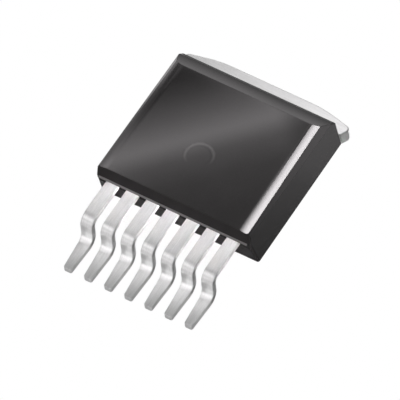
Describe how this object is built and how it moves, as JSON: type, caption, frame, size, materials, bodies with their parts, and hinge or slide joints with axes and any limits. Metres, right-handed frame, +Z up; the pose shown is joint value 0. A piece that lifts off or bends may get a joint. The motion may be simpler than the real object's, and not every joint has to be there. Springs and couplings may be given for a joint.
{
  "type": "silicon carbide mosfet",
  "caption": "Surface-mount power transistor: flat black moulded body, a row of gull-wing leads at one end and a plated drain tab at the other.",
  "frame": {"origin": "centre of the package's footprint, on the soldering plane", "axes": "+X along the row of leads from the gate end, +Y towards the drain tab, +Z up out of the board"},
  "size_m": [0.0104, 0.0154, 0.0031],
  "materials": {
    "moulding": "fine matte epoxy moulding compound",
    "plated_tab": "matte tin plating on copper",
    "plated_lead": "matte tin plating on copper",
    "die": "polished chip with a metal pad layer",
    "solder": "dull solder",
    "bond_wire": "drawn aluminium wire"
  },
  "bodies": {
    "root": {"mould_body": "moulding", "drain_tab": "plated_tab", "gate_lead": "plated_lead", "driver_source_lead": "plated_lead", "power_source_leads": "plated_lead", "sic_die": "die", "die_attach": "solder", "gate_bond_wire": "bond_wire", "driver_source_bond_wire": "bond_wire", "source_bond_wire_1": "bond_wire", "source_bond_wire_2": "bond_wire", "source_bond_wire_3": "bond_wire", "source_bond_wire_4": "bond_wire", "source_bond_wire_5": "bond_wire", "source_bond_wire_6": "bond_wire"}
  },
  "joints": []
}
